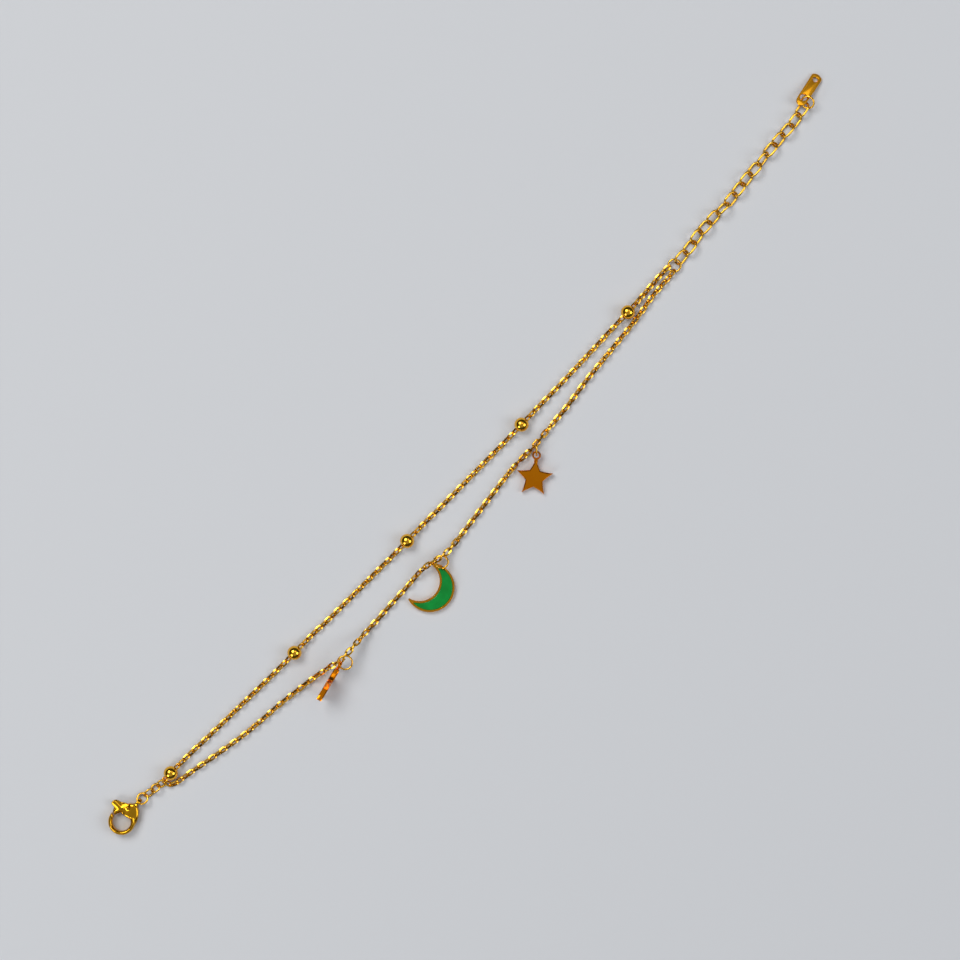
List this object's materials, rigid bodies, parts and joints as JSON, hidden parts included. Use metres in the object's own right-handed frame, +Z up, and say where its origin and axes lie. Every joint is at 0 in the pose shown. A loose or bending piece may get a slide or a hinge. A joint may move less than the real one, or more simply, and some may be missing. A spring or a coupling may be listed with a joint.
{
  "type": "charm anklet",
  "caption": "Gold-plated two-strand charm anklet laid out open, with beads, a star on edge, an enamelled moon, a flat star, a lobster clasp and an extender chain.",
  "frame": {"origin": "the middle of the footprint, on the surface the anklet lies on", "axes": "+Z up from the surface, +X along the anklet from the clasp to the end tag, +Y away from the charms"},
  "size_m": [0.2582, 0.027, 0.0091],
  "materials": {
    "chain_gold": "polished gold plate",
    "cast_gold": "polished gold plate",
    "bead_gold": "polished gold plate",
    "green_enamel": "glossy enamel"
  },
  "bodies": {
    "root": {"extender_link_01": "chain_gold", "extender_link_02": "chain_gold", "extender_link_03": "chain_gold", "extender_link_04": "chain_gold", "extender_link_05": "chain_gold", "extender_link_06": "chain_gold", "extender_link_07": "chain_gold", "extender_link_08": "chain_gold", "extender_link_09": "chain_gold", "extender_link_10": "chain_gold", "extender_link_11": "chain_gold", "extender_link_12": "chain_gold", "extender_link_13": "chain_gold", "extender_link_14": "chain_gold", "extender_link_15": "chain_gold", "extender_link_16": "chain_gold", "bead_chain_1": "chain_gold", "bead_chain_2": "chain_gold", "bead_chain_3": "chain_gold", "bead_chain_4": "chain_gold", "bead_chain_5": "chain_gold", "charm_chain_1": "chain_gold", "charm_chain_2": "chain_gold", "charm_chain_3": "chain_gold", "charm_chain_4": "chain_gold", "clasp_ring": "chain_gold", "clasp_link_1": "chain_gold", "clasp_link_2": "chain_gold", "join_ring": "chain_gold", "side_star_ring": "chain_gold", "side_star_link": "chain_gold", "moon_ring": "chain_gold", "moon_link": "chain_gold", "star_ring": "chain_gold", "star_link": "chain_gold", "end_join_ring": "chain_gold", "tag_ring": "chain_gold", "clasp_body": "cast_gold", "clasp_pin": "cast_gold", "side_star": "cast_gold", "star": "cast_gold", "moon": "cast_gold", "tag": "cast_gold", "bead_1": "bead_gold", "bead_2": "bead_gold", "bead_3": "bead_gold", "bead_4": "bead_gold", "bead_5": "bead_gold", "moon_enamel": "green_enamel"},
    "lever": {"clasp_lever": "cast_gold"}
  },
  "joints": [
    {"name": "lever_hinge", "type": "hinge", "parent": "root", "child": "lever", "pos_m": [-0.12212, 0.00956, 0.0014], "axis": [0, 0, 1], "range_deg": [0, 20], "stiffness_Nm_per_rad": 0.0005, "springref_deg": -11.46}
  ]
}
